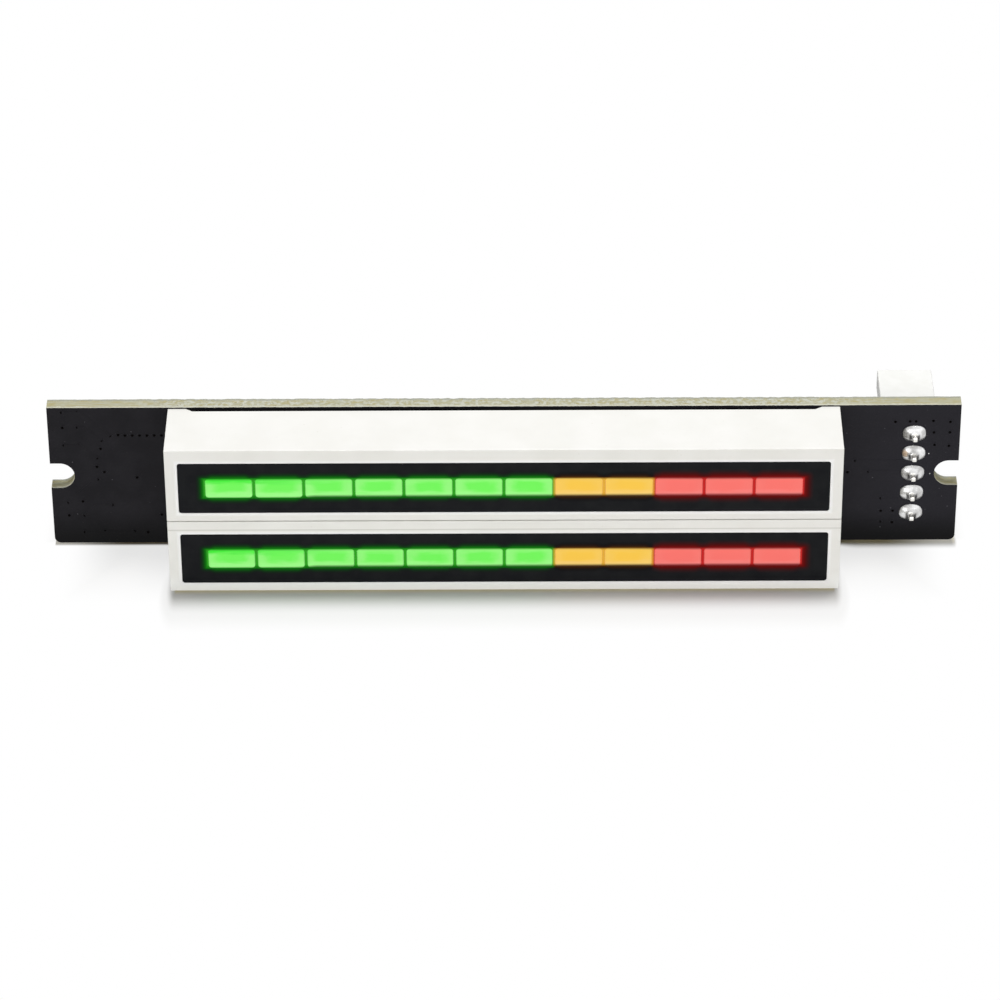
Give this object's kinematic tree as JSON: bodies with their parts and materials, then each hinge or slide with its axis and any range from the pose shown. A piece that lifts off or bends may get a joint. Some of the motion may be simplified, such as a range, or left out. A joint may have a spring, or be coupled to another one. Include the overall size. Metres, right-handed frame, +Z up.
{
  "type": "led vu meter",
  "caption": "Stereo LED level meter module: stacked bar displays on a notched circuit board, with a cable connector and push switches on the back.",
  "frame": {"origin": "middle of the circuit board's front face, on the line between the two screw notches", "axes": "+X along the board to the right seen from the front, -Y out of the lit front, +Z up as it stands"},
  "size_m": [0.096, 0.0166, 0.0179],
  "materials": {
    "board": "satin",
    "white_plastic": "satin",
    "black_film": "satin",
    "green_light": "satin",
    "amber_light": "satin",
    "red_light": "satin",
    "chip_board": "satin",
    "light_chip": "satin",
    "resin": "gloss",
    "tinned_lead": "satin",
    "tinned_brass": "satin",
    "solder": "polished",
    "connector_nylon": "satin",
    "moulded_package": "matte",
    "can_aluminium": "satin",
    "resistor_glaze": "gloss",
    "capacitor_ceramic": "satin",
    "switch_plastic": "matte",
    "cover_steel": "satin",
    "spring_brass": "satin",
    "plunger_plastic": "satin"
  },
  "bodies": {
    "module": {"circuit_board": "board", "upper_housing": "white_plastic", "upper_face_film": "black_film", "upper_green_bars": "green_light", "upper_amber_bars": "amber_light", "upper_red_bars": "red_light", "upper_chip_board": "chip_board", "upper_light_chips": "light_chip", "upper_resin_fill": "resin", "upper_pins": "tinned_lead", "upper_pin_joints": "solder", "lower_housing": "white_plastic", "lower_face_film": "black_film", "lower_green_bars": "green_light", "lower_amber_bars": "amber_light", "lower_red_bars": "red_light", "lower_chip_board": "chip_board", "lower_light_chips": "light_chip", "lower_resin_fill": "resin", "lower_pins": "tinned_lead", "lower_pin_joints": "solder", "connector_shell": "connector_nylon", "connector_pins": "tinned_brass", "connector_joints": "solder", "microcontroller_body": "moulded_package", "microcontroller_leads": "tinned_lead", "regulator_body": "moulded_package", "regulator_leads": "tinned_lead", "reservoir_base": "moulded_package", "reservoir_can": "can_aluminium", "reservoir_terminals": "tinned_lead", "diode_body": "moulded_package", "diode_terminals": "tinned_lead", "transistor_bodies": "moulded_package", "transistor_leads": "tinned_lead", "resistor_bodies": "resistor_glaze", "resistor_caps": "solder", "capacitor_bodies": "capacitor_ceramic", "capacitor_caps": "solder", "mode_switch_base": "switch_plastic", "mode_switch_cover": "cover_steel", "mode_switch_dome": "spring_brass", "mode_switch_terminals": "tinned_lead", "speed_switch_base": "switch_plastic", "speed_switch_cover": "cover_steel", "speed_switch_dome": "spring_brass", "speed_switch_terminals": "tinned_lead"},
    "mode_button": {"mode_plunger": "plunger_plastic"},
    "speed_button": {"speed_plunger": "plunger_plastic"}
  },
  "joints": [
    {"name": "mode_press", "type": "slide", "parent": "module", "child": "mode_button", "axis": [0, -1, 0], "range_m": [0, 0.00025], "stiffness_N_per_m": 4000, "deforming": ["mode_switch_dome"]},
    {"name": "speed_press", "type": "slide", "parent": "module", "child": "speed_button", "axis": [0, -1, 0], "range_m": [0, 0.00025], "stiffness_N_per_m": 4000, "deforming": ["speed_switch_dome"]}
  ]
}
